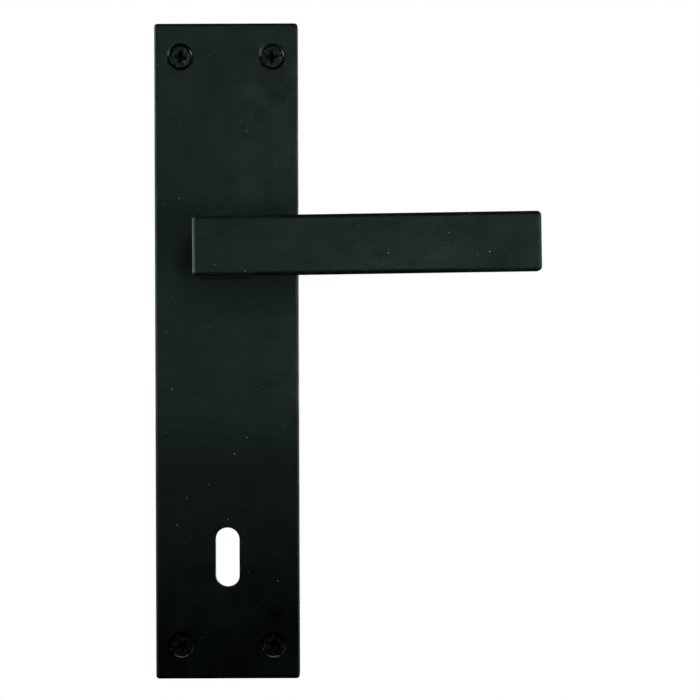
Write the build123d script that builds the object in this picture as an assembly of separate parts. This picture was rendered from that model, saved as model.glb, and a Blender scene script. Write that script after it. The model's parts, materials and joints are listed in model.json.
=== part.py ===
from build123d import *

import math
import os

# A sprung lever handle on a long backplate, for a mortice lock worked by a key.
#
# Bench frame, used by every function below: the handle lies on its back. X runs along the
# lever, Y up the door and Z out of the door towards the hand. The origin is on the lever's
# turning axis, in the plane of the door face. export_node() stands each piece up into the
# part's own frame, where Z is up and the hand is on the -Y side.
#
# Sizes are millimetres and angles are degrees, counter-clockwise as the hand sees them.

# Driving dimensions: the backplate and its holes
PLATE_W = 51.5
PLATE_H = 235.0
PLATE_D = 10.0
PLATE_EDGE_R = 1.2
AXIS_BELOW_TOP = 81.5
KEY_BELOW_AXIS = 110.0
KEY_SLOT_W = 8.6
KEY_SLOT_H = 21.4
SCREW_SPACING_X = 33.0
SCREW_MARGIN = 12.0

# Driving dimensions: the lever
LEVER_H = 20.6
LEVER_REACH = 109.9
LEVER_BAR_D = 10.0
LEVER_STANDOFF = 50.0
LEVER_EDGE_R = 1.6
NECK_W = 19.2
REST_LIFT = 0.7
TRAVEL = 45.0
REST_TURN = Rot(0, 0, REST_LIFT)

# Driving dimensions: the square spindle and its socket
SPINDLE_SIDE = 8.0
SPINDLE_L = 110.0
SPINDLE_IN_LEVER = 40.0
SPINDLE_CHAMFER = 0.8

# Gaps: a sliding fit, and a fixed fit where two pieces only just clear each other
SLIP = 0.05
FINE_GAP = 0.02

# The backplate casting
WALL = 2.4
SKIN = 2.0
CAVITY_D = PLATE_D - SKIN
PLATE_TOP = AXIS_BELOW_TOP
PLATE_BOTTOM = AXIS_BELOW_TOP - PLATE_H
PLATE_MID = (PLATE_TOP + PLATE_BOTTOM) / 2
CAVITY_CORNER_R = 1.5
SCREW_BOSS_R = 6.4
KEY_COLLAR_T = 2.2
KEY_COLLAR_D = 5.0
RIB_T = 1.6
RIB_BACK = 1.0
RIB_HEIGHTS = (48.0, -48.0, -80.0)

# The countersunk holes for the four fixing screws
SCREW_X = SCREW_SPACING_X / 2
SCREW_TOP = PLATE_TOP - SCREW_MARGIN
SCREW_BOTTOM = PLATE_BOTTOM + SCREW_MARGIN
SEAT_R = 4.05
SEAT_LIP_R = 1.5
SEAT_LIP_TURN = 45
SEAT_RIM_DEPTH = 1.3
SHANK_HOLE_R = 2.25

# The fixing screws: raised countersunk wood screws, 4 x 30
HEAD_R = 3.65
HEAD_RIM = 0.25
HEAD_DOME = 0.7
SCREW_L = 30.0
SHANK_R = 1.45
COLLAR_TOP = -0.3
COLLAR_L = 4.0
THREAD_R = 2.0
THREAD_ROOT_R = 1.3
THREAD_PITCH = 1.8
TIP_L = 4.0
RECESS_SPAN = 4.4
RECESS_SLOT = 1.15
RECESS_DEPTH = 2.1
RECESS_FLOOR_SPAN = 0.4
RECESS_FLOOR_SLOT = 0.6
SCREW_TURN = {
    "wood_screw_upper_left": -12.0,
    "wood_screw_upper_right": 4.0,
    "wood_screw_lower_left": 38.0,
    "wood_screw_lower_right": -14.0,
}

# The turning stack behind the plate's skin, from the door face outwards
COVER_BACK = 1.3
COVER_T = 0.8
COVER_FRONT = COVER_BACK + COVER_T
JOURNAL_END = 0.9
RING_BACK = 1.5
RING_T = 1.0
GROOVE_PLAY = 0.05
RING_W = 2.2
RING_GAP = 2.4
RING_LUG_R = 1.7
RING_LUG_HOLE_R = 0.8
RING_LUG_HOLE_OUT = 0.2
DISC_SPRING_T = 0.35
DISC_SPRING_PLAY = 0.2
HUB_BACK = 3.25
HUB_FLANGE_BACK = 5.7
HUB_FRONT = 6.7
HOUSING_FLOOR_T = 0.8
HOUSING_FLOOR = CAVITY_D - HOUSING_FLOOR_T
BUSH_FLANGE_T = 0.8
NECK_BASE = PLATE_D + BUSH_FLANGE_T + SLIP

# Radii of the turning stack
JOURNAL_R = 8.0
JOURNAL_FLATS = 13.4
GROOVE_R = 7.6
BUSH_R = 9.5
BUSH_FLANGE_R = 10.2
WASHER_R = 11.0
HUB_BARREL_R = 11.2
HUB_FLANGE_R = 15.2
HUB_ARM_R = 20.2
HOUSING_R = 22.0
HOUSING_WALL = 1.0
HOUSING_BORE_R = HOUSING_R - HOUSING_WALL
COVER_HOLE_R = 11.7

# The return spring: a torsion spring whose two straight legs run off at a tangent
WIRE_R = 0.65
COIL_R = 13.2
COIL_PITCH = 1.34
COIL_ANGLE = 540.0
COIL_BACK = COVER_FRONT + 0.1
LEG_L = 14.8
POST_R = 1.5
POST_ARM = 10.2
MOVING_LEG_ANGLE = 168.4
FIXED_LEG_ANGLE = MOVING_LEG_ANGLE + COIL_ANGLE

# The stops: a tooth on the hub between two blocks in the housing
TOOTH_ANGLE = 270.0 + TRAVEL / 2
TOOTH_HALF = 6.0
STOP_BLOCK = 12.0
STOP_GAP = 0.3
STOP_BACK = 4.9
STOP_IN_R = 16.0

# The four screws that hold the spring cover
COVER_W = 44.0
COVER_H = 54.0
COVER_SCREWS = ((-15.0, 23.5), (15.0, 23.5), (-15.0, -23.5), (15.0, -23.5))
COVER_SCREW_NAMES = ("upper_left", "upper_right", "lower_left", "lower_right")
COVER_BOSS_R = 3.2
COVER_SCREW_R = 1.45
COVER_SCREW_L = 5.0
COVER_HEAD_R = 2.6
COVER_HEAD_T = 1.1
COVER_HEAD_ROUND = 0.66
COVER_RECESS_SIZE = 0.6
COVER_RECESS_DEPTH = 0.88
TONGUE_W = 6.0

# The grub screw that holds the spindle, M6 x 6 with a 3 mm hexagon socket
GRUB_R = 3.0
GRUB_L = 6.0
GRUB_Z = 24.0
GRUB_HEX = 3.0
GRUB_CHAMFER = 0.5

BIG = 400.0


def disc(radius, back, front):
    """A cylinder on the lever's axis between two heights above the door face."""
    return Pos(0, 0, (back + front) / 2) * Cylinder(radius, front - back)


def ring(inner, outer, back, front):
    """A flat ring on the lever's axis."""
    return disc(outer, back, front) - disc(inner, back, front)


def slab(x0, x1, y0, y1, z0, z1):
    """A box given by its two corners."""
    middle = Pos((x0 + x1) / 2, (y0 + y1) / 2, (z0 + z1) / 2)
    return middle * Box(x1 - x0, y1 - y0, z1 - z0)


def sector(inner, outer, middle, half, back, front):
    """A block of a flat ring, as wide as two half angles either side of a middle angle."""
    reach = 2 * outer
    wedge = Polyline(
        (0, 0),
        (reach * math.cos(math.radians(-half)), reach * math.sin(math.radians(-half))),
        (reach * math.cos(math.radians(half)), reach * math.sin(math.radians(half))),
        close=True,
    )
    cut = Pos(0, 0, back) * extrude(make_face(wedge), front - back)
    return Rot(0, 0, middle) * (ring(inner, outer, back, front) & cut)


def polar(radius, angle):
    """The point at a radius and an angle in degrees."""
    return radius * math.cos(math.radians(angle)), radius * math.sin(math.radians(angle))


def key_slot(grow, back, front):
    """The keyhole's stadium, made larger by grow all round."""
    outline = SlotOverall(KEY_SLOT_H + 2 * grow, KEY_SLOT_W + 2 * grow, rotation=90)
    return Pos(0, -KEY_BELOW_AXIS, back) * extrude(outline, front - back)


def fixing_points():
    """The four fixing screws, by node name."""
    return {
        "wood_screw_upper_left": (-SCREW_X, SCREW_TOP),
        "wood_screw_upper_right": (SCREW_X, SCREW_TOP),
        "wood_screw_lower_left": (-SCREW_X, SCREW_BOTTOM),
        "wood_screw_lower_right": (SCREW_X, SCREW_BOTTOM),
    }


def countersink():
    """What a fixing screw's hole takes out: shank hole, 90 degree seat and a softly rounded lip."""
    seat_top = PLATE_D - SEAT_RIM_DEPTH
    seat_bottom = seat_top - (SEAT_R - SHANK_HOLE_R)
    lip_out = SEAT_R + SEAT_LIP_R * math.sin(math.radians(SEAT_LIP_TURN))
    lip_bottom = PLATE_D - SEAT_LIP_R * (1 - math.cos(math.radians(SEAT_LIP_TURN)))
    wall = Polyline(
        (0, -1),
        (SHANK_HOLE_R, -1),
        (SHANK_HOLE_R, seat_bottom),
        (SEAT_R, seat_top),
        (SEAT_R, lip_bottom),
    )
    lip = RadiusArc((SEAT_R, lip_bottom), (lip_out, PLATE_D), SEAT_LIP_R, short_sagitta=True)
    roof = Polyline(
        (lip_out, PLATE_D),
        (lip_out, PLATE_D + 1),
        (0, PLATE_D + 1),
        (0, -1),
    )
    profile = make_face(Plane.XZ * (wall + lip + roof))
    return revolve(profile, Axis.Z)


def backplate():
    """The long cast cover: a shallow shell with bosses, ribs and a collar round the keyhole."""
    shell = slab(-PLATE_W / 2, PLATE_W / 2, PLATE_BOTTOM, PLATE_TOP, 0, PLATE_D)
    front = shell.faces().sort_by(Axis.Z)[-1].edges()
    uprights = shell.edges().filter_by(Axis.Z)
    shell = fillet(front + uprights, PLATE_EDGE_R)

    cavity = slab(
        -PLATE_W / 2 + WALL, PLATE_W / 2 - WALL, PLATE_BOTTOM + WALL, PLATE_TOP - WALL, 0, CAVITY_D
    )
    cavity = fillet(cavity.edges().filter_by(Axis.Z), CAVITY_CORNER_R)
    for y in RIB_HEIGHTS:
        cavity -= slab(-PLATE_W, PLATE_W, y - RIB_T / 2, y + RIB_T / 2, RIB_BACK, PLATE_D)
    for x, y in fixing_points().values():
        cavity -= Pos(x, y, 0) * disc(SCREW_BOSS_R, 0, PLATE_D)
    for x, y in COVER_SCREWS:
        cavity -= Pos(x, y, 0) * disc(COVER_BOSS_R, COVER_FRONT, PLATE_D)
    cavity -= key_slot(KEY_COLLAR_T, PLATE_D - KEY_COLLAR_D, PLATE_D)
    shell -= cavity

    shell -= key_slot(0, -1, PLATE_D + 1)
    shell -= disc(BUSH_R, -1, PLATE_D + 1)
    for x, y in fixing_points().values():
        shell -= Pos(x, y, 0) * countersink()
    for x, y in COVER_SCREWS:
        shell -= Pos(x, y, 0) * disc(COVER_SCREW_R, 0, COVER_BACK + COVER_SCREW_L)
    return shell


def double_d(radius, flats, back, front):
    """A round bar with two flats, left and right."""
    return disc(radius, back, front) & slab(-flats / 2, flats / 2, -BIG, BIG, back, front)


def square_bar(side, back, front):
    """A square bar on the lever's axis."""
    return slab(-side / 2, side / 2, -side / 2, side / 2, back, front)


def lever():
    """Bar, neck and journal in one piece, with the spindle socket and the grub screw's hole."""
    bar_front = PLATE_D + LEVER_STANDOFF
    bar_back = bar_front - LEVER_BAR_D
    profile = make_face(
        Plane.XZ
        * Polyline(
            (-NECK_W / 2, NECK_BASE),
            (-NECK_W / 2, bar_front),
            (LEVER_REACH, bar_front),
            (LEVER_REACH, bar_back),
            (NECK_W / 2, bar_back),
            (NECK_W / 2, NECK_BASE),
            close=True,
        )
    )
    grip = extrude(profile, LEVER_H / 2, both=True)
    crook = grip.edges().filter_by(Axis.Y).filter_by(
        lambda e: abs(e.center().X - NECK_W / 2) < SLIP and abs(e.center().Z - bar_back) < SLIP
    )
    grip = fillet(crook, 2 * LEVER_EDGE_R)
    outer = grip.edges().filter_by(lambda e: e.center().Z > NECK_BASE + SLIP)
    inner_bend = outer.filter_by(Axis.Y).filter_by(lambda e: not on_outside(e, bar_back))
    grip = fillet(outer - inner_bend, LEVER_EDGE_R)

    shaft = disc(JOURNAL_R, HUB_FRONT, NECK_BASE)
    shaft += double_d(JOURNAL_R, JOURNAL_FLATS, JOURNAL_END, HUB_FRONT)
    shaft -= ring(GROOVE_R, 2 * JOURNAL_R, RING_BACK - GROOVE_PLAY, RING_BACK + RING_T + GROOVE_PLAY)
    piece = grip + shaft
    piece -= square_bar(SPINDLE_SIDE + 2 * SLIP, 0, SPINDLE_IN_LEVER + SLIP)
    piece -= Pos(0, -LEVER_H / 2, GRUB_Z) * Rot(90, 0, 0) * Cylinder(GRUB_R, LEVER_H - SPINDLE_SIDE)
    return piece


def on_outside(edge, bar_back):
    """True for the cross edges of the lever's outside corners, false for those of its crook."""
    at = edge.center()
    return at.X < 0 or at.X > LEVER_REACH - SLIP or at.Z > bar_back + LEVER_BAR_D / 2


def spindle():
    """The square bar that turns the lock and carries the other handle."""
    bar = square_bar(SPINDLE_SIDE, SPINDLE_IN_LEVER - SPINDLE_L, SPINDLE_IN_LEVER)
    ends = bar.edges().filter_by(GeomType.LINE) - bar.edges().filter_by(Axis.Z)
    return chamfer(ends, SPINDLE_CHAMFER)


def hexagon(across_flats, height):
    """A hexagonal prism standing on the XY plane."""
    return extrude(RegularPolygon(across_flats / 2, 6, major_radius=False), height)


def grub_screw():
    """The set screw in the neck's underside, its cup against the spindle."""
    screw = Cylinder(GRUB_R - FINE_GAP, GRUB_L)
    screw = chamfer(screw.edges().filter_by(GeomType.CIRCLE), GRUB_CHAMFER)
    screw -= Pos(0, 0, GRUB_L / 2 - GRUB_HEX) * hexagon(GRUB_HEX, GRUB_HEX + 1)
    middle = -SPINDLE_SIDE / 2 - FINE_GAP - GRUB_L / 2
    return Pos(0, middle, GRUB_Z) * Rot(90, 0, 0) * screw


def bearing_bush():
    """The flanged nylon bush that the journal runs in."""
    bush = disc(BUSH_R - FINE_GAP, HOUSING_FLOOR, PLATE_D)
    bush += disc(BUSH_FLANGE_R, PLATE_D, PLATE_D + BUSH_FLANGE_T)
    return bush - disc(JOURNAL_R + SLIP, 0, BIG)


def spring_hub():
    """Driven by the journal's flats: carries the spring's moving leg and the stop tooth."""
    hub = disc(HUB_BARREL_R, HUB_BACK, HUB_FRONT)
    hub += disc(HUB_FLANGE_R, HUB_FLANGE_BACK, HUB_FRONT)
    hub += sector(COIL_R, HUB_ARM_R, TOOTH_ANGLE, TOOTH_HALF, HUB_FLANGE_BACK, HUB_FRONT)
    hub += sector(STOP_IN_R, HUB_ARM_R, TOOTH_ANGLE, TOOTH_HALF, STOP_BACK, HUB_FRONT)
    x, y = post_centre(MOVING_LEG_ANGLE, -1)
    post_angle = math.degrees(math.atan2(y, x))
    hub += sector(COIL_R, HUB_ARM_R, post_angle, TOOTH_HALF, HUB_FLANGE_BACK, HUB_FRONT)
    hub += Pos(x, y, 0) * disc(POST_R, STOP_BACK - 1, HUB_FRONT)
    return hub - double_d(JOURNAL_R + SLIP, JOURNAL_FLATS + 2 * SLIP, 0, BIG)


def post_centre(leg_angle, side):
    """Where the post stands that a spring leg bears on: outside the leg, POST_ARM along it."""
    ux, uy = polar(1.0, leg_angle)
    out = COIL_R + WIRE_R + POST_R + FINE_GAP
    return out * ux - side * POST_ARM * uy, out * uy + side * POST_ARM * ux


def level(direction):
    """A direction laid flat, parallel to the door face."""
    return Vector(direction.X, direction.Y, 0).normalized()


def return_spring():
    """A torsion spring of one and a half turns with two tangent legs, swept as one wire."""
    rise = COIL_PITCH * COIL_ANGLE / 360
    z0 = COIL_BACK + WIRE_R
    # A left-handed helix starts on +X and winds clockwise as it climbs.
    coil = Rot(0, 0, FIXED_LEG_ANGLE) * Pos(0, 0, z0) * Helix(COIL_PITCH, rise, COIL_R, lefthand=True)
    start, end = coil @ 0, coil @ 1
    fixed_leg = Line(start - level(coil % 0) * LEG_L, start)
    moving_leg = Line(end, end + level(coil % 1) * LEG_L)
    wire = Wire([fixed_leg, coil, moving_leg])
    section = Plane(origin=wire @ 0, z_dir=wire % 0) * Circle(WIRE_R)
    return sweep(section, path=wire, transition=Transition.TRANSFORMED)


def spring_housing():
    """The moulded cup round the spring, with the fixed leg's post and the two stop blocks."""
    cup = disc(HOUSING_R, COVER_FRONT, CAVITY_D) - disc(HOUSING_BORE_R, 0, HOUSING_FLOOR)
    cup -= disc(BUSH_R, 0, PLATE_D)
    x, y = post_centre(FIXED_LEG_ANGLE, 1)
    post_angle = math.degrees(math.atan2(y, x))
    post = Pos(x, y, 0) * disc(POST_R, COVER_FRONT + SLIP, HOUSING_FLOOR)
    arm = slab(0, HOUSING_BORE_R + HOUSING_WALL / 2, -POST_R, POST_R, COVER_FRONT + SLIP, HOUSING_FLOOR)
    arm = Rot(0, 0, post_angle) * (arm - disc(math.hypot(x, y), 0, PLATE_D))
    cup += REST_TURN * (post + arm)
    half = STOP_BLOCK / 2
    rest = TOOTH_ANGLE + TOOTH_HALF + STOP_GAP + half
    pressed = TOOTH_ANGLE - TRAVEL - TOOTH_HALF - STOP_GAP - half
    for middle in (rest, pressed):
        block = sector(
            STOP_IN_R, HOUSING_BORE_R + HOUSING_WALL / 2, middle, half, STOP_BACK, HOUSING_FLOOR
        )
        cup += REST_TURN * block
    for side in (-1, 1):
        cup += tongue(side, 0)
    return cup


def tongue(side, grow):
    """A rim tongue of the housing, or with grow the slot for it in the cover."""
    across = TONGUE_W / 2 + grow
    block = slab(HOUSING_BORE_R - 1, HOUSING_R + grow, -across, across, COVER_BACK, COVER_FRONT)
    block -= disc(HOUSING_BORE_R - grow, 0, PLATE_D)
    block &= disc(HOUSING_R + grow, 0, PLATE_D)
    return Rot(0, 0, 90 - 90 * side) * block


def spring_cover():
    """The steel sheet that closes the housing from behind."""
    sheet = Pos(0, 0, COVER_BACK) * extrude(RectangleRounded(COVER_W, COVER_H, COVER_BOSS_R), COVER_T)
    sheet -= disc(COVER_HOLE_R, 0, PLATE_D)
    for x, y in COVER_SCREWS:
        sheet -= Pos(x, y, 0) * disc(COVER_SCREW_R + SLIP, 0, PLATE_D)
    for side in (-1, 1):
        sheet -= tongue(side, SLIP)
    return sheet


def recess(size, depth):
    """A cross recess that narrows downwards from the XY plane, size times the fixing screws' own."""
    mouth = Rectangle(size * RECESS_SPAN, size * RECESS_SLOT)
    floor = Rectangle(
        size * RECESS_FLOOR_SPAN * RECESS_SPAN, size * RECESS_FLOOR_SLOT * RECESS_SLOT
    )
    arm = loft([mouth, Pos(0, 0, -depth) * floor])
    return arm + Rot(0, 0, 90) * arm


def cover_screw():
    """A pan head thread-forming screw, driven from the door side."""
    head = disc(COVER_HEAD_R, COVER_BACK - COVER_HEAD_T, COVER_BACK)
    rim = head.edges().group_by(Axis.Z)[0]
    screw = fillet(rim, COVER_HEAD_ROUND)
    screw += disc(COVER_SCREW_R, COVER_BACK, COVER_BACK + COVER_SCREW_L)
    drive = recess(COVER_RECESS_SIZE, COVER_RECESS_DEPTH)
    return screw - Pos(0, 0, COVER_BACK - COVER_HEAD_T) * Rot(180, 0, 0) * drive


def retaining_ring():
    """The external circlip in the journal's groove, its gap over one of the flats."""
    front = RING_BACK + RING_T
    lug_x = GROOVE_R + RING_LUG_R
    lug_y = RING_GAP / 2 + RING_LUG_R
    clip = ring(GROOVE_R + FINE_GAP, GROOVE_R + RING_W, RING_BACK, front)
    for side in (-1, 1):
        clip += Pos(lug_x, side * lug_y, 0) * disc(RING_LUG_R, RING_BACK, front)
    clip -= disc(GROOVE_R + FINE_GAP, 0, PLATE_D)
    clip -= slab(0, BIG, -RING_GAP / 2, RING_GAP / 2, 0, PLATE_D)
    for side in (-1, 1):
        clip -= Pos(lug_x + RING_LUG_HOLE_OUT, side * lug_y, 0) * disc(RING_LUG_HOLE_R, 0, PLATE_D)
    return clip


def disc_spring():
    """The coned washer between circlip and hub that takes up the end play."""
    inner, outer = JOURNAL_R + DISC_SPRING_PLAY, WASHER_R - DISC_SPRING_PLAY
    back, front = RING_BACK + RING_T + SLIP, HUB_BACK - SLIP
    profile = make_face(
        Plane.XZ
        * Polyline(
            (inner, back),
            (outer, front - DISC_SPRING_T),
            (outer, front),
            (inner, back + DISC_SPRING_T),
            close=True,
        )
    )
    return revolve(profile, Axis.Z)


def thrust_washer():
    """The nylon washer between the hub and the housing's floor."""
    return ring(JOURNAL_R + 3 * SLIP, WASHER_R, HUB_FRONT + SLIP, HOUSING_FLOOR - SLIP)


def wood_screw(turn):
    """A raised countersunk screw on the Z axis, seated in a countersink of the backplate."""
    rim_bottom = PLATE_D - SEAT_RIM_DEPTH - (SEAT_R - HEAD_R) + FINE_GAP
    rim_top = rim_bottom + HEAD_RIM
    tip = rim_top - SCREW_L
    neck_top = rim_bottom - (HEAD_R - SHANK_R)
    points = [(HEAD_R, rim_top), (HEAD_R, rim_bottom), (SHANK_R, neck_top), (SHANK_R, COLLAR_TOP)]
    points += [(THREAD_R, COLLAR_TOP), (THREAD_R, COLLAR_TOP - COLLAR_L)]
    flank = THREAD_R - THREAD_ROOT_R
    z = COLLAR_TOP - COLLAR_L - flank
    while z - THREAD_PITCH > tip + TIP_L:
        ridge = z - THREAD_PITCH + flank / 2
        points += [(THREAD_ROOT_R, z), (THREAD_ROOT_R, ridge + flank / 2), (THREAD_R, ridge)]
        z -= THREAD_PITCH
    points += [(THREAD_ROOT_R, z), (THREAD_ROOT_R, tip + TIP_L), (0, tip)]
    points += [(0, rim_top + HEAD_DOME)]
    dome_r = (HEAD_R**2 + HEAD_DOME**2) / (2 * HEAD_DOME)
    dome = RadiusArc((0, rim_top + HEAD_DOME), (HEAD_R, rim_top), dome_r, short_sagitta=True)
    screw = revolve(make_face(Plane.XZ * (Polyline(*points) + dome)), Axis.Z)
    drive = recess(1, RECESS_DEPTH + HEAD_DOME)
    return Rot(0, 0, turn) * (screw - Pos(0, 0, rim_top + HEAD_DOME) * drive)


def export_node(name, piece):
    """Stands a piece up from the bench frame and writes it."""
    solids = piece.solids()
    upright = [Plane.XZ * s for s in solids]
    shape = upright[0] if len(upright) == 1 else Compound(children=upright)
    export_step(shape, f"parts/{name}.step")


def main():
    os.makedirs("parts", exist_ok=True)
    fixed = {
        "backplate": backplate(),
        "bearing_bush": bearing_bush(),
        "spring_housing": spring_housing(),
        "spring_cover": spring_cover(),
        "return_spring": REST_TURN * return_spring(),
    }
    for (x, y), corner in zip(COVER_SCREWS, COVER_SCREW_NAMES):
        fixed[f"cover_screw_{corner}"] = Pos(x, y, 0) * cover_screw()
    for name, (x, y) in fixing_points().items():
        fixed[name] = Pos(x, y, 0) * wood_screw(SCREW_TURN[name])
    turning = {
        "lever": lever(),
        "spindle": spindle(),
        "grub_screw": grub_screw(),
        "spring_hub": spring_hub(),
        "thrust_washer": thrust_washer(),
        "disc_spring": disc_spring(),
        "retaining_ring": retaining_ring(),
    }
    for name, piece in fixed.items():
        export_node(name, piece)
    for name, piece in turning.items():
        export_node(name, REST_TURN * piece)


main()
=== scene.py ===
import json
import math

import bpy
from mathutils import Matrix, Vector


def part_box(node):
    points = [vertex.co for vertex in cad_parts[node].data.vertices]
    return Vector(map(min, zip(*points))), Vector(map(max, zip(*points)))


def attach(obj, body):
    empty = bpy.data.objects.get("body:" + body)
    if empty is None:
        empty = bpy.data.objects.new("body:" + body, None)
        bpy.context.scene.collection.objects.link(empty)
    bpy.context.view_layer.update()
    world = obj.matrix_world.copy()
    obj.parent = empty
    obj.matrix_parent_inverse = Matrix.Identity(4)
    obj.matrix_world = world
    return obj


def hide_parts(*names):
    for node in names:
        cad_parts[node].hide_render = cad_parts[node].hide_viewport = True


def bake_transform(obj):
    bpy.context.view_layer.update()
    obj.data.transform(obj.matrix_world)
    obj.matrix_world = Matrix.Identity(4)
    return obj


# The looks of a sprung lever handle on a long backplate: materials for the CAD nodes, finer
# screws and spring in place of the plain ones, a soft studio and the camera.
#
# Pieces made here are drawn in the bench frame: X along the lever, Y up the door, Z out of the
# door towards the hand, in millimetres. stand() stands them up in the frame of the CAD model.

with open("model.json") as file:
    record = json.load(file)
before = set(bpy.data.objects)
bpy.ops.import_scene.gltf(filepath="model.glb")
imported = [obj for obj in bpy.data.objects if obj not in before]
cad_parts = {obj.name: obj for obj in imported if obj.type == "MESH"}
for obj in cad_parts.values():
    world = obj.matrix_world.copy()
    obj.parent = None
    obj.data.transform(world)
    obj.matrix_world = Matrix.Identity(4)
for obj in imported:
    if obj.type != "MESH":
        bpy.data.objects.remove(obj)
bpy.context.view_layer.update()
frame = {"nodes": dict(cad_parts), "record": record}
NODES = frame["nodes"]
SLOTS = {sub["node"]: sub["material_slot"] for sub in frame["record"]["subparts"]}
MM = 0.001

PLATE_LOW, PLATE_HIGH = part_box("backplate")
PLATE_FRONT = -PLATE_LOW.y

SCREW_LOW, SCREW_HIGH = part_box("wood_screw_upper_left")
SCREWS_APART_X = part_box("wood_screw_upper_right")[0].x - SCREW_LOW.x
SCREWS_APART_Z = SCREW_LOW.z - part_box("wood_screw_lower_left")[0].z

# How far a fixing screw's dome rises above the head's rim, in millimetres.
HEAD_DOME = 0.7

# The camera is far off and square on to the plate.
VIEW_DISTANCE = 1.050
CAMERA_X = 44.17 * MM
CAMERA_Z = -35.8 * MM
SENSOR = 36.0
LENS = 150.65
ROLL = 0.2

FLOOR_Z = -1.1
FLOOR_R = 6.0
FLOOR_SIDES = 96


# Materials


class Shade:
    """A material in the making. Each method adds one node and gives back its output."""

    def __init__(self, name, colour, roughness, metallic=0.0):
        self.material = bpy.data.materials.new(name)
        self.material.use_nodes = True
        self.tree = self.material.node_tree
        self.shader = self.tree.nodes["Principled BSDF"]
        self.set("Base Color", colour)
        self.set("Roughness", roughness)
        self.set("Metallic", metallic)
        self.place = self.add("ShaderNodeTexCoord").outputs["Object"]

    def add(self, kind, **settings):
        """A new node of a kind, with its settings."""
        node = self.tree.nodes.new(kind)
        for key, value in settings.items():
            setattr(node, key, value)
        return node

    def feed(self, socket, value):
        """Puts a number, a colour or another node's output into a socket."""
        if isinstance(value, bpy.types.NodeSocket):
            self.tree.links.new(value, socket)
        elif isinstance(value, tuple) and len(socket.default_value) == 4:
            socket.default_value = (*value, 1.0)
        else:
            socket.default_value = value

    def set(self, name, value):
        """Puts a value into one of the surface's own sockets."""
        self.feed(self.shader.inputs[name], value)

    def stretched(self, x, y, z, turn=(0.0, 0.0, 0.0)):
        """Object coordinates scaled along each axis, for grain that runs one way."""
        node = self.add("ShaderNodeMapping")
        self.feed(node.inputs["Vector"], self.place)
        node.inputs["Scale"].default_value = (x, y, z)
        node.inputs["Rotation"].default_value = turn
        return node.outputs["Vector"]

    def noise(self, size, detail=2.0, rough=0.5, warp=0.0, at=None, seed=0.0):
        """Noise from 0 to 1 whose lumps are about size metres across."""
        node = self.add("ShaderNodeTexNoise", noise_dimensions="4D")
        self.feed(node.inputs["Vector"], at or self.place)
        node.inputs["W"].default_value = seed
        node.inputs["Scale"].default_value = 1 / size
        node.inputs["Detail"].default_value = detail
        node.inputs["Roughness"].default_value = rough
        node.inputs["Distortion"].default_value = warp
        return node.outputs["Fac"]

    def ramp(self, value, low, high, to_low=0.0, to_high=1.0):
        """A smooth step of a value between two limits."""
        node = self.add("ShaderNodeMapRange", interpolation_type="SMOOTHSTEP")
        self.feed(node.inputs["Value"], value)
        node.inputs["From Min"].default_value = low
        node.inputs["From Max"].default_value = high
        node.inputs["To Min"].default_value = to_low
        node.inputs["To Max"].default_value = to_high
        return node.outputs["Result"]

    def work(self, first, second, how):
        """A Math node's result."""
        node = self.add("ShaderNodeMath", operation=how)
        self.feed(node.inputs[0], first)
        self.feed(node.inputs[1], second)
        return node.outputs["Value"]

    def plus(self, first, second):
        return self.work(first, second, "ADD")

    def minus(self, first, second):
        return self.work(first, second, "SUBTRACT")

    def times(self, first, second):
        return self.work(first, second, "MULTIPLY")

    def larger(self, first, second):
        return self.work(first, second, "MAXIMUM")

    def size(self, value):
        """A value without its sign."""
        return self.work(value, 0.0, "ABSOLUTE")

    def blend(self, share, first, second):
        """One colour where share is 0, the other where it is 1."""
        node = self.add("ShaderNodeMix", data_type="RGBA")
        colours = [socket for socket in node.inputs if socket.type == "RGBA"]
        self.feed(node.inputs["Factor"], share)
        self.feed(colours[0], first)
        self.feed(colours[1], second)
        return [socket for socket in node.outputs if socket.type == "RGBA"][0]

    def specks(self, spacing, radius, share, seed=0.0):
        """1 inside small dots: one dot in each cell of a share of the cells."""
        shifted = self.add("ShaderNodeVectorMath", operation="ADD")
        self.feed(shifted.inputs[0], self.place)
        shifted.inputs[1].default_value = (seed, 2 * seed, 3 * seed)
        cells = self.add("ShaderNodeTexVoronoi")
        self.feed(cells.inputs["Vector"], shifted.outputs["Vector"])
        cells.inputs["Scale"].default_value = 1 / spacing
        near = self.ramp(cells.outputs["Distance"], radius / spacing, 0.6 * radius / spacing)
        split = self.add("ShaderNodeSeparateColor")
        self.feed(split.inputs["Color"], cells.outputs["Color"])
        kept = self.work(split.outputs["Red"], share, "LESS_THAN")
        return self.times(near, kept)

    def local(self):
        """X, Y and Z in a screw's own frame, its head's top at the origin and Z out of it."""
        read = self.add("ShaderNodeAttribute", attribute_name="local")
        split = self.add("ShaderNodeSeparateXYZ")
        self.feed(split.inputs["Vector"], read.outputs["Vector"])
        return split.outputs["X"], split.outputs["Y"], split.outputs["Z"]

    def edges(self, width):
        """1 along the piece's sharp edges, fading over width."""
        soft = self.add("ShaderNodeBevel", samples=4)
        soft.inputs["Radius"].default_value = width
        sharp = self.add("ShaderNodeNewGeometry")
        dot = self.add("ShaderNodeVectorMath", operation="DOT_PRODUCT")
        self.feed(dot.inputs[0], soft.outputs["Normal"])
        self.feed(dot.inputs[1], sharp.outputs["Normal"])
        return self.ramp(dot.outputs["Value"], 0.995, 0.9)

    def bump(self, height, depth, under=None):
        """A bump of the given depth in metres, on top of another bump if there is one."""
        node = self.add("ShaderNodeBump")
        node.inputs["Distance"].default_value = depth
        self.feed(node.inputs["Height"], height)
        if under is not None:
            self.feed(node.inputs["Normal"], under)
        self.set("Normal", node.outputs["Normal"])
        return node.outputs["Normal"]


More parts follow.
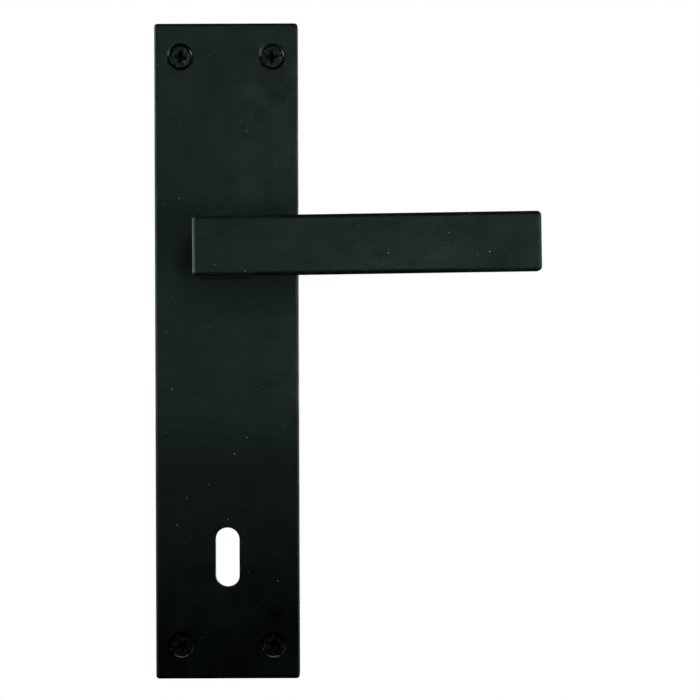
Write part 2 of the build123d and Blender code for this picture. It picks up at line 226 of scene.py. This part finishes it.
# The coat reflects a little less red than green and blue.
COAT_TINT = (0.62, 1.0, 0.95)
COAT_BLACK = (0.0004, 0.0006, 0.0007)
COAT_FILM = (0.0100, 0.0150, 0.0145)
COAT_DUST = (0.60, 0.66, 0.63)
COAT_ROUGHNESS = 0.52
LIP_GLOSS = 0.23

# Round each fixing screw the plate's rounded lip fades into its face between these radii.
LIP_INSIDE = 4.7 * MM
LIP_OUTSIDE = 5.3 * MM

# A fixing screw's dome falls away from its top by this much, per square metre.
HEAD_BULGE = HEAD_DOME * MM / ((SCREW_HIGH.x - SCREW_LOW.x) / 2) ** 2

# Its recess lies inside these radii, and its worn rim outside the next two.
RECESS_INSIDE = 2.55 * MM
RECESS_OUTSIDE = 2.75 * MM
RIM_FADE = 3.25 * MM
RIM_FULL = 3.42 * MM


def near_screws(s):
    """1 on the rounded lips round the four fixing screws, 0 further off."""
    split = s.add("ShaderNodeSeparateXYZ")
    s.feed(split.inputs["Vector"], s.place)
    middle = (PLATE_LOW.z + PLATE_HIGH.z) / 2
    across = s.minus(s.size(split.outputs["X"]), SCREWS_APART_X / 2)
    up = s.size(s.minus(split.outputs["Z"], middle))
    up = s.minus(up, SCREWS_APART_Z / 2)
    r2 = s.plus(s.times(across, across), s.times(up, up))
    return s.ramp(r2, LIP_OUTSIDE**2, LIP_INSIDE**2)


def black_coat():
    """Satin black powder coat: fine peel, a cloudy film, finger smears, dust and lint."""
    s = Shade("black_coat", COAT_BLACK, COAT_ROUGHNESS)
    s.set("Specular Tint", COAT_TINT)
    patches = s.noise(34 * MM, 2, 0.5, 0.8, seed=1.0)
    clouds = s.noise(8 * MM, 5, 0.66, 0.3, seed=3.0)
    grain = s.noise(0.7 * MM, 3, 0.8, seed=5.0)
    smears = s.ramp(s.noise(16 * MM, 3, 0.6, 2.0, seed=7.0), 0.56, 0.68)
    gloss = s.plus(s.ramp(patches, 0.3, 0.7, -0.08, 0.08), s.ramp(clouds, 0.3, 0.7, -0.09, 0.09))
    gloss = s.plus(gloss, s.times(smears, 0.05))
    gloss = s.plus(gloss, s.ramp(grain, 0.25, 0.75, -0.11, 0.11))
    rough = s.plus(gloss, COAT_ROUGHNESS)
    s.set("Roughness", s.minus(rough, s.times(near_screws(s), LIP_GLOSS)))
    haze = s.plus(s.ramp(clouds, 0.30, 0.70, 0.0, 0.5), s.ramp(grain, 0.25, 0.75, 0.0, 0.35))
    haze = s.plus(haze, s.ramp(patches, 0.35, 0.65, -0.15, 0.25))
    haze = s.minus(haze, s.times(smears, 0.30))
    film = s.blend(haze, COAT_BLACK, COAT_FILM)
    lint = s.specks(2.3 * MM, 0.15 * MM, 0.4, 1.0)
    dust = s.specks(5.0 * MM, 0.26 * MM, 0.8, 1.5)
    dusty = s.blend(s.ramp(lint, 0, 1, 0, 0.40), film, COAT_DUST)
    s.set("Base Color", s.blend(s.ramp(dust, 0, 1, 0, 0.75), dusty, COAT_DUST))
    peel = s.bump(s.noise(1.3 * MM, 2, 0.5, seed=1.0), 0.006 * MM)
    s.bump(s.plus(dust, grain), 0.006 * MM, peel)
    return s.material


def black_screw():
    """Blackened screw: like the coat on its face, rubbed to bare metal along the head's rim, with
    painted shade deep in its cross recess.
    """
    s = Shade("black_screw", (0.010, 0.012, 0.012), 0.46)
    s.set("Specular Tint", COAT_TINT)
    x, y, z = s.local()
    r2 = s.plus(s.times(x, x), s.times(y, y))
    sunk = s.minus(s.times(r2, -HEAD_BULGE), z)
    inside = s.ramp(r2, RECESS_OUTSIDE**2, RECESS_INSIDE**2)
    # The deep part of the cross recess: it gets no wear, a rougher surface, and painted shade that
    # darkens its colour.
    recess_unworn_and_painted_shade = s.times(s.ramp(sunk, 0.02 * MM, 0.22 * MM), inside)
    rim = s.ramp(r2, RIM_FADE**2, RIM_FULL**2)
    patches = s.noise(0.55 * MM, 3, 0.7, seed=2.0)
    arcs = s.ramp(s.noise(2.6 * MM, 1, 0.5, seed=11.0), 0.42, 0.58, 0.35, 1.0)
    flecks = s.ramp(s.noise(0.42 * MM, 3, 0.65, seed=5.0), 0.49, 0.57)
    flecks = s.times(s.times(flecks, rim), arcs)
    pricks = s.ramp(s.noise(0.50 * MM, 2, 0.6, seed=9.0), 0.57, 0.66)
    worn = s.larger(flecks, s.times(pricks, 0.25))
    worn = s.times(worn, s.minus(1.0, recess_unworn_and_painted_shade))
    grey = s.blend(s.ramp(patches, 0.4, 0.65), (0.002, 0.003, 0.003), (0.012, 0.017, 0.016))
    # Painted shade: the colour goes near black deep in the recess, where little light reaches.
    grey = s.blend(recess_unworn_and_painted_shade, grey, (0.0003, 0.0003, 0.0003))
    s.set("Base Color", s.blend(worn, grey, (0.62, 0.74, 0.69)))
    s.set("Metallic", s.ramp(worn, 0, 1, 0.0, 0.85))
    gloss = s.minus(s.ramp(patches, 0.44, 0.56, 0.85, 0.38), s.times(worn, 0.10))
    s.set("Roughness", s.plus(gloss, s.times(recess_unworn_and_painted_shade, 0.5)))
    s.bump(s.noise(0.42 * MM, 3, 0.65, seed=7.0), 0.13 * MM)
    return s.material


def bright_steel():
    """Cold drawn bar: fine lines along its length, faint stains, lighter edges."""
    s = Shade("bright_steel", (0.50, 0.50, 0.49), 0.30, 1.0)
    lines = s.noise(0.35 * MM, 4, 0.7, at=s.stretched(1.0, 0.02, 1.0))
    stains = s.noise(9 * MM, 3, 0.6, 0.8)
    dull = s.blend(s.ramp(stains, 0.4, 0.7), (0.55, 0.55, 0.54), (0.38, 0.37, 0.35))
    s.set("Base Color", s.blend(s.times(s.edges(0.3 * MM), 0.5), dull, (0.72, 0.72, 0.71)))
    s.set("Roughness", s.plus(s.ramp(lines, 0.3, 0.7, 0.28, 0.42), s.ramp(stains, 0.3, 0.7, 0, 0.1)))
    s.bump(lines, 0.005 * MM)
    return s.material


def spring_steel():
    """Oil-tempered wire and strip: dark, smooth, with a brown cast and drawing marks."""
    s = Shade("spring_steel", (0.16, 0.15, 0.14), 0.30, 1.0)
    tone = s.noise(3 * MM, 3, 0.6)
    s.set("Base Color", s.blend(s.ramp(tone, 0.35, 0.65), (0.20, 0.20, 0.21), (0.12, 0.10, 0.085)))
    s.set("Roughness", s.ramp(s.noise(0.6 * MM, 3, 0.6), 0.3, 0.7, 0.22, 0.42))
    s.bump(s.noise(0.2 * MM, 2, 0.6), 0.006 * MM)
    return s.material


def zinc_casting():
    """Raw zinc die casting: dull grey, with cold-flow clouds and small pits."""
    s = Shade("zinc_casting", (0.42, 0.43, 0.44), 0.48, 1.0)
    flow = s.noise(5 * MM, 4, 0.6, 1.5)
    pits = s.specks(1.4 * MM, 0.12 * MM, 0.3)
    cloudy = s.blend(s.ramp(flow, 0.35, 0.65), (0.36, 0.37, 0.38), (0.52, 0.53, 0.54))
    s.set("Base Color", s.blend(pits, cloudy, (0.12, 0.12, 0.12)))
    s.set("Roughness", s.ramp(flow, 0.3, 0.7, 0.40, 0.60))
    s.bump(s.minus(s.noise(0.4 * MM, 3, 0.6), pits), 0.02 * MM)
    return s.material


def plated_steel():
    """Zinc-plated sheet and screws: bluish, softly clouded, with fine rolling lines and scuffs."""
    s = Shade("plated_steel", (0.60, 0.63, 0.66), 0.34, 1.0)
    clouds = s.noise(9 * MM, 3, 0.6, 0.6)
    rolling = s.noise(0.22 * MM, 2, 0.6, at=s.stretched(1.0, 1.0, 0.04))
    scuffs = s.ramp(s.noise(1.2 * MM, 4, 0.7, 1.0, seed=3.0), 0.60, 0.72)
    blue = s.blend(s.ramp(clouds, 0.35, 0.65), (0.50, 0.54, 0.58), (0.58, 0.59, 0.58))
    dull = s.blend(s.times(scuffs, 0.35), blue, (0.36, 0.38, 0.40))
    s.set("Base Color", s.blend(s.times(s.edges(0.3 * MM), 0.4), dull, (0.78, 0.79, 0.80)))
    gloss = s.plus(s.ramp(clouds, 0.3, 0.7, 0.30, 0.38), s.ramp(rolling, 0.3, 0.7, 0, 0.06))
    s.set("Roughness", s.plus(gloss, s.times(scuffs, 0.14)))
    s.bump(s.plus(rolling, s.times(scuffs, 0.5)), 0.004 * MM)
    return s.material


def black_nylon():
    """Glass-filled black nylon: matt moulded skin with faint fibre streaks."""
    s = Shade("black_nylon", (0.018, 0.018, 0.019), 0.50)
    fibres = s.noise(0.35 * MM, 3, 0.7, at=s.stretched(1.0, 1.0, 0.15, (0.3, 0.4, 0.0)))
    s.set("Base Color", s.blend(s.ramp(fibres, 0.55, 0.75), (0.016, 0.016, 0.017), (0.06, 0.06, 0.06)))
    s.set("Roughness", s.ramp(s.noise(4 * MM), 0.3, 0.7, 0.42, 0.58))
    s.bump(s.plus(fibres, s.noise(0.2 * MM)), 0.010 * MM)
    return s.material


def white_nylon():
    """Natural nylon: off-white and slightly translucent."""
    s = Shade("white_nylon", (0.74, 0.72, 0.66), 0.42)
    s.set("Subsurface Weight", 0.15)
    tone = s.noise(3 * MM)
    s.set("Base Color", s.blend(s.ramp(tone, 0.3, 0.7), (0.76, 0.74, 0.68), (0.68, 0.65, 0.58)))
    s.set("Roughness", s.ramp(tone, 0.3, 0.7, 0.36, 0.50))
    s.bump(s.noise(0.25 * MM), 0.006 * MM)
    return s.material


def black_steel():
    """Black oxide: dark metal with an oily sheen, brighter on its edges."""
    s = Shade("black_steel", (0.03, 0.03, 0.033), 0.36, 0.8)
    wear = s.times(s.edges(0.15 * MM), s.ramp(s.noise(0.4 * MM, 3), 0.4, 0.6))
    s.set("Base Color", s.blend(wear, (0.028, 0.028, 0.032), (0.30, 0.30, 0.30)))
    s.set("Roughness", s.ramp(s.noise(0.8 * MM), 0.3, 0.7, 0.28, 0.46))
    s.bump(s.noise(0.2 * MM, 3), 0.010 * MM)
    return s.material


def floor_paper():
    """The pale floor."""
    s = Shade("floor_paper", (0.16, 0.16, 0.16), 0.9)
    fibre = s.noise(2 * MM, 3)
    s.set("Base Color", s.blend(fibre, (0.15, 0.15, 0.15), (0.17, 0.17, 0.17)))
    s.set("Emission Color", (1.0, 1.0, 1.0))
    s.set("Emission Strength", 0.72)
    s.bump(fibre, 0.05 * MM)
    return s.material


MATERIALS = {
    "black_coat": black_coat(),
    "black_screw": black_screw(),
    "black_steel": black_steel(),
    "bright_steel": bright_steel(),
    "spring_steel": spring_steel(),
    "zinc_casting": zinc_casting(),
    "plated_steel": plated_steel(),
    "black_nylon": black_nylon(),
    "white_nylon": white_nylon(),
}


def dress_cad_nodes():
    """Gives every CAD node the material of its slot."""
    for node, slot in SLOTS.items():
        slots = NODES[node].data.materials
        for i in range(len(slots)):
            slots[i] = MATERIALS[slot]


# Finer pieces, in the bench frame

BENCH_TO_FRAME = Matrix.Rotation(math.radians(90), 4, "X") @ Matrix.Scale(MM, 4)
ROUND = 48
DOME_STEPS = 12
SHARP_ANGLE = math.radians(30)


def bench_box(node):
    """A node's lowest and highest corners in the bench frame, in millimetres."""
    low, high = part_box(node)
    return Vector((low.x, low.z, -high.y)) / MM, Vector((high.x, high.z, -low.y)) / MM


def solid(name, points, faces):
    """A closed mesh, smooth except along its sharp edges."""
    mesh = bpy.data.meshes.new(name)
    mesh.from_pydata(points, [], faces)
    mesh.shade_smooth()
    mesh.set_sharp_from_angle(angle=SHARP_ANGLE)
    piece = bpy.data.objects.new(name, mesh)
    bpy.context.scene.collection.objects.link(piece)
    return piece


def skin(rings, first, last):
    """Points and faces of a closed skin over rings of equally many points, between two tips."""
    count = len(rings[0])
    points = [first] + [point for ring in rings for point in ring] + [last]
    faces = []
    for i in range(count):
        j = (i + 1) % count
        faces.append((0, 1 + i, 1 + j))
        for r in range(len(rings) - 1):
            here, below = 1 + r * count, 1 + (r + 1) * count
            faces.append((here + i, below + i, below + j, here + j))
        end = 1 + (len(rings) - 1) * count
        faces.append((end + i, len(points) - 1, end + j))
    return points, faces


def stand(piece, node, x, y, z, turn=0.0, back=False):
    """Puts a piece where its node is, head out of the door or, with back, towards it."""
    mesh = piece.data
    local = mesh.attributes.new("local", "FLOAT_VECTOR", "POINT")
    local.data.foreach_set("vector", [c * MM for v in mesh.vertices for c in v.co])
    aim = Matrix.Rotation(math.pi if back else 0.0, 4, "X")
    spin = Matrix.Rotation(math.radians(turn), 4, "Z")
    mesh.transform(BENCH_TO_FRAME @ Matrix.Translation((x, y, z)) @ aim @ spin)
    mesh.materials.append(MATERIALS[SLOTS[node]])
    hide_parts(node)


def circle(radius, z):
    """A level ring of points about the Z axis."""
    turn = 2 * math.pi / ROUND
    return [(radius * math.cos(turn * i), radius * math.sin(turn * i), z) for i in range(ROUND)]


def dome(radius, height, z):
    """Rings of a low dome whose rim is at height z, from near its top down."""
    ball = (radius * radius + height * height) / (2 * height)
    rings = []
    for k in range(1, DOME_STEPS + 1):
        r = radius * k / DOME_STEPS
        rings.append(circle(r, z + height - ball + math.sqrt(ball * ball - r * r)))
    return rings


# A thread's rings to each turn, the height of its ridge before the crest is cut flat at 1, and
# the share of the pitch in which a flank falls by 1.
THREAD_STEPS = 14
THREAD_CREST = 1.2
THREAD_FLANK = 0.26


def thread(core, crest, pitch, top, bottom, point):
    """Rings of a right-handed thread that runs out at the top and tapers over its point."""
    rings = []
    steps = round((top - bottom) / pitch * THREAD_STEPS)
    for k in range(1, steps):
        z = top + (bottom - top) * k / steps
        taper = min(1.0, (z - bottom) / point) if point else 1.0
        lead = min(1.0, (top - z) / pitch)
        ring = []
        for i in range(ROUND):
            angle = 2 * math.pi * i / ROUND
            phase = (z / pitch - i / ROUND) % 1.0
            ridge = min(1.0, max(0.0, THREAD_CREST - abs(phase - 0.5) / THREAD_FLANK))
            r = taper * core + lead * math.sqrt(taper) * (crest - core) * ridge
            ring.append((r * math.cos(angle), r * math.sin(angle), z))
        rings.append(ring)
    return rings


# A cross recess: the cut-off of its inner corners as a share of its slot, the shares of its span
# and slot that are left at its depth and at the top of its point, and the point's own depths.
CROSS_CORNER = 0.35
SPAN_AT_DEPTH, SLOT_AT_DEPTH = 0.45, 0.65
SPAN_AT_POINT, SLOT_AT_POINT = 0.10, 0.15
POINT_DEPTH, POINT_TIP = 0.35, 0.4
CUTTER_OVER = 0.3


def cross(span, slot, z):
    """The outline of a cross recess, its inner corners cut off."""
    corner = CROSS_CORNER * slot
    wing = [(span / 2, -slot / 2), (span / 2, slot / 2), (slot / 2 + corner, slot / 2)]
    wing.append((slot / 2, slot / 2 + corner))
    points = []
    for quarter in range(4):
        cosine = round(math.cos(math.pi / 2 * quarter))
        sine = round(math.sin(math.pi / 2 * quarter))
        points += [(x * cosine - y * sine, x * sine + y * cosine, z) for x, y in wing]
    return points


def cut_recess(piece, span, slot, depth):
    """Sinks a cross recess into a head whose top is at height 0, narrowing to a point."""
    over = CUTTER_OVER / depth
    wide_span = span * (1 + (1 - SPAN_AT_DEPTH) * over)
    wide_slot = slot * (1 + (1 - SLOT_AT_DEPTH) * over)
    rings = [
        cross(wide_span, wide_slot, CUTTER_OVER),
        cross(SPAN_AT_DEPTH * span, SLOT_AT_DEPTH * slot, -depth),
        cross(SPAN_AT_POINT * span, SLOT_AT_POINT * slot, -depth - POINT_DEPTH * slot),
    ]
    points, faces = skin(rings, (0, 0, 1.2 * CUTTER_OVER), (0, 0, -depth - POINT_TIP * slot))
    cutter = solid("cutter", points, faces)
    cut = piece.modifiers.new("recess", "BOOLEAN")
    cut.operation = "DIFFERENCE"
    cut.solver = "EXACT"
    cut.object = cutter
    view = bpy.context.evaluated_depsgraph_get()
    mesh = bpy.data.meshes.new_from_object(piece.evaluated_get(view))
    piece.modifiers.clear()
    piece.data = mesh
    mesh.shade_smooth()
    mesh.set_sharp_from_angle(angle=SHARP_ANGLE)
    bpy.data.objects.remove(cutter)


# The fixing screws: raised countersunk wood screws.
HEAD_RIM = 0.25
HEAD_EDGE = 0.24
EDGE_STEPS = 5
SHANK_R = 1.45
COLLAR_TOP = -0.3
THREAD_R = 2.0
THREAD_CORE = 1.3
THREAD_PITCH = 1.8
SCREW_POINT = 4.5
RECESS_SPAN = 4.7
RECESS_SLOT = 1.45
RECESS_DEPTH = 2.5
SCREW_TURNS = {"upper_left": -12.0, "upper_right": 4.0, "lower_left": 38.0, "lower_right": -14.0}


def wood_screw(corner, turn):
    """One fixing screw, turned by some degrees, with its top where its node's top is."""
    node = "wood_screw_" + corner
    low, high = bench_box(node)
    head_r = (high.x - low.x) / 2
    x, y, top = (low.x + high.x) / 2, (low.y + high.y) / 2, high.z
    rim_top, rim_bottom = -HEAD_DOME, -HEAD_DOME - HEAD_RIM
    rings = dome(head_r - HEAD_EDGE, HEAD_DOME - HEAD_EDGE, rim_top + HEAD_EDGE)
    for k in range(1, EDGE_STEPS + 1):
        angle = math.pi / 2 * k / EDGE_STEPS
        out, down = HEAD_EDGE * (1 - math.sin(angle)), HEAD_EDGE * math.cos(angle)
        rings.append(circle(head_r - out, rim_top + down))
    rings += [circle(head_r, rim_bottom), circle(SHANK_R, rim_bottom - head_r + SHANK_R)]
    rings += [circle(SHANK_R, COLLAR_TOP - top)]
    rings += thread(THREAD_CORE, THREAD_R, THREAD_PITCH, COLLAR_TOP - top, low.z - top, SCREW_POINT)
    points, faces = skin(rings, (0, 0, 0), (0, 0, low.z - top))
    piece = solid("fixing_screw_" + corner, points, faces)
    cut_recess(piece, RECESS_SPAN, RECESS_SLOT, RECESS_DEPTH)
    stand(piece, node, x, y, top, turn)
    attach(piece, "backplate")


# The spring cover's screws: pan head screws driven from the door side.
PAN_HEAD_T = 1.1
PAN_DOME = 0.7
PAN_SQUARENESS = 0.8
PAN_STEPS = 12
PAN_SPAN = 2.9
PAN_SLOT = 0.8
PAN_DEPTH = 1.2
PAN_THREAD_R = 1.45
PAN_CORE = 1.2
PAN_PITCH = 1.0


def cover_screw(corner, turn):
    """One cover screw, turned by some degrees, with its head towards the door."""
    node = "cover_screw_" + corner
    low, high = bench_box(node)
    head_r = (high.x - low.x) / 2
    x, y = (low.x + high.x) / 2, (low.y + high.y) / 2
    rings = []
    for k in range(1, PAN_STEPS + 1):
        angle = math.pi / 2 * k / PAN_STEPS
        r = head_r * math.sin(angle) ** PAN_SQUARENESS
        rings.append(circle(r, (math.cos(angle) - 1) * PAN_DOME * PAN_HEAD_T))
    rings += [circle(head_r, -PAN_HEAD_T), circle(PAN_CORE, -PAN_HEAD_T)]
    rings += thread(PAN_CORE, PAN_THREAD_R, PAN_PITCH, -PAN_HEAD_T, low.z - high.z, 0)
    points, faces = skin(rings, (0, 0, 0), (0, 0, low.z - high.z))
    piece = solid("pan_screw_" + corner, points, faces)
    cut_recess(piece, PAN_SPAN, PAN_SLOT, PAN_DEPTH)
    stand(piece, node, x, y, low.z, turn, back=True)
    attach(piece, "backplate")


# The return spring: one and a half turns of wire with two straight legs.
WIRE_R = 0.65
COIL_R = 13.2
COIL_BACK = 2.85
COIL_PITCH = 1.34
COIL_TURNS = 1.5
LEG_L = 14.8
LEG_STEPS = 12
MOVING_LEG_ANGLE = 168.4
REST_LIFT = 0.7
WIRE_SIDES = 16
STEPS_PER_TURN = 72


def spring_path():
    """The wire's centre line, from the fixed leg's end to the moving leg's."""
    start = math.radians(MOVING_LEG_ANGLE + 360 * COIL_TURNS + REST_LIFT)
    count = round(COIL_TURNS * STEPS_PER_TURN)
    path = []
    for k in range(count + 1):
        angle = start - 2 * math.pi * k / STEPS_PER_TURN
        rise = COIL_PITCH * k / STEPS_PER_TURN
        path.append(Vector((COIL_R * math.cos(angle), COIL_R * math.sin(angle), COIL_BACK + rise)))
    finish = start - 2 * math.pi * COIL_TURNS
    first_way = Vector((-math.sin(start), math.cos(start), 0))
    last_way = Vector((math.sin(finish), -math.cos(finish), 0))
    before = [path[0] + first_way * LEG_L * k / LEG_STEPS for k in range(LEG_STEPS, 0, -1)]
    after = [path[-1] + last_way * LEG_L * k / LEG_STEPS for k in range(1, LEG_STEPS + 1)]
    return before + path + after


def return_spring():
    """The round wire along its path, in its rest shape; the lever winds the real spring up as it
    turns.
    """
    path = spring_path()
    rings = []
    for k in range(len(path)):
        way = (path[min(k + 1, len(path) - 1)] - path[max(k - 1, 0)]).normalized()
        side = way.cross(Vector((0, 0, 1))).normalized()
        up = side.cross(way)
        ring = []
        for i in range(WIRE_SIDES):
            angle = 2 * math.pi * i / WIRE_SIDES
            ring.append(path[k] + WIRE_R * (math.cos(angle) * side + math.sin(angle) * up))
        rings.append(ring)
    points, faces = skin(rings, path[0], path[-1])
    piece = solid("torsion_spring", points, faces)
    stand(piece, "return_spring", 0, 0, 0)
    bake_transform(piece)


# Light, floor and camera


# Each light: name, place, the point that it faces, width and height in metres, and radiance.
LIGHTS = [
    # Far panels that the front faces mirror. They set the brightness down the plate and lever.
    ("key", (0.15, -1.0, 0.19), (0.15, 0, 0.19), (0.12, 0.32), 5.0),
    ("low_middle", (0.13, -1.0, -0.15), (0.13, 0, -0.15), (0.12, 0.14), 3.6),
    ("low_right", (0.475, -1.0, -0.15), (0.475, 0, -0.15), (0.25, 0.14), 9.5),
    ("high_left", (-0.06, -1.0, 0.27), (-0.06, 0, 0.27), (0.12, 0.15), 3.2),
    # Panels at the sides, which the rounded upright edges mirror.
    ("left", (-0.52, 0.05, 0.30), (0, 0.05, 0), (0.3, 0.4), 10.0),
    ("right", (0.60, 0.05, 0.34), (0, 0.05, 0), (0.3, 0.4), 3.8),
    ("left_fill", (-1.2, 0.1, -0.05), (0, 0.1, -0.05), (0.9, 0.7), 0.6),
    ("right_fill", (1.2, 0.1, -0.05), (0, 0.1, -0.05), (0.9, 0.7), 0.6),
    # Panels that the lips round the screws mirror, from the sides and from above.
    ("side_left", (-0.61, -0.36, -0.06), (0, 0, -0.06), (0.26, 0.2), 6.5),
    ("side_right", (0.61, -0.36, -0.06), (0, 0, -0.06), (0.26, 0.2), 5.5),
    ("top_strip", (0.0, -0.37, 0.55), (0, 0, -0.145), (1.0, 0.075), 10.0),
    # Weak light for the top and the back.
    ("overhead", (0.0, 0.55, 0.9), (0, 0, 0), (0.7, 0.5), 0.30),
    ("back_left", (-0.55, 0.9, 0.0), (0, 0, 0), (0.6, 0.35), 4.0),
    ("back_right", (0.6, 0.85, 0.0), (0, 0, 0), (0.6, 0.35), 4.0),
]


def area_light(name, place, aim, size, radiance):
    """A soft panel of the given radiance that the camera doesn't see."""
    data = bpy.data.lights.new(name, "AREA")
    data.shape = "RECTANGLE"
    data.size, data.size_y = size
    data.energy = radiance * math.pi * size[0] * size[1]
    light = bpy.data.objects.new(name, data)
    light.location = place
    light.rotation_euler = (Vector(aim) - Vector(place)).to_track_quat("-Z", "Y").to_euler()
    light.visible_camera = False
    bpy.context.scene.collection.objects.link(light)


def add_floor():
    """A round pale floor, below the part and out of the camera's view."""
    turns = [2 * math.pi * i / FLOOR_SIDES for i in range(FLOOR_SIDES)]
    rim = [(FLOOR_R * math.cos(turn), FLOOR_R * math.sin(turn), FLOOR_Z) for turn in turns]
    mesh = bpy.data.meshes.new("floor")
    mesh.from_pydata(rim, [], [range(FLOOR_SIDES)])
    mesh.materials.append(floor_paper())
    floor = bpy.data.objects.new("floor", mesh)
    floor.visible_glossy = False
    floor.visible_diffuse = False
    bpy.context.scene.collection.objects.link(floor)


def add_flag(name, corners):
    """A black card that keeps a light off part of the object."""
    mesh = bpy.data.meshes.new(name)
    mesh.from_pydata(corners, [], [(0, 1, 2, 3)])
    cloth = Shade("flag_cloth", (0, 0, 0), 1.0)
    cloth.set("Specular IOR Level", 0.0)
    mesh.materials.append(cloth.material)
    flag = bpy.data.objects.new(name, mesh)
    flag.visible_camera = False
    bpy.context.scene.collection.objects.link(flag)


def add_flags():
    """One card upright before the plate's lower end, one lying level above the plate."""
    y, bottom, top = -0.14, -0.6, -0.078
    left, right = -0.4, 0.5
    add_flag("low_flag", [(left, y, bottom), (right, y, bottom), (right, y, top), (left, y, top)])
    z, front, back = 0.13, -0.147, 0.02
    left, right = -0.22, 0.34
    add_flag("high_flag", [(left, front, z), (right, front, z), (right, back, z), (left, back, z)])


def add_camera():
    """The camera, level and facing the plate, rolled by a hair."""
    data = bpy.data.cameras.new("camera")
    data.lens = LENS
    data.sensor_width = SENSOR
    camera = bpy.data.objects.new("camera", data)
    camera.location = (CAMERA_X, -PLATE_FRONT - VIEW_DISTANCE, CAMERA_Z)
    camera.rotation_euler = (math.radians(90), math.radians(ROLL), 0)
    bpy.context.scene.collection.objects.link(camera)
    bpy.context.scene.camera = camera


def add_world():
    """White behind the object, and a dim room for everything that the object mirrors."""
    world = bpy.data.worlds.new("studio")
    world.use_nodes = True
    tree = world.node_tree
    tree.nodes.clear()
    out = tree.nodes.new("ShaderNodeOutputWorld")
    mix = tree.nodes.new("ShaderNodeMixShader")
    path = tree.nodes.new("ShaderNodeLightPath")
    seen = tree.nodes.new("ShaderNodeBackground")
    seen.inputs["Color"].default_value = (1, 1, 1, 1)
    room = tree.nodes.new("ShaderNodeBackground")
    room.inputs["Color"].default_value = (0.006, 0.006, 0.006, 1)
    tree.links.new(path.outputs["Is Camera Ray"], mix.inputs["Fac"])
    tree.links.new(room.outputs[0], mix.inputs[1])
    tree.links.new(seen.outputs[0], mix.inputs[2])
    tree.links.new(mix.outputs[0], out.inputs["Surface"])
    bpy.context.scene.world = world
    bpy.context.scene.view_settings.view_transform = "Standard"


dress_cad_nodes()
for corner, turn in SCREW_TURNS.items():
    wood_screw(corner, turn)
    cover_screw(corner, 3 * turn)
return_spring()
add_floor()
add_camera()
add_world()
add_flags()
for light in LIGHTS:
    area_light(*light)
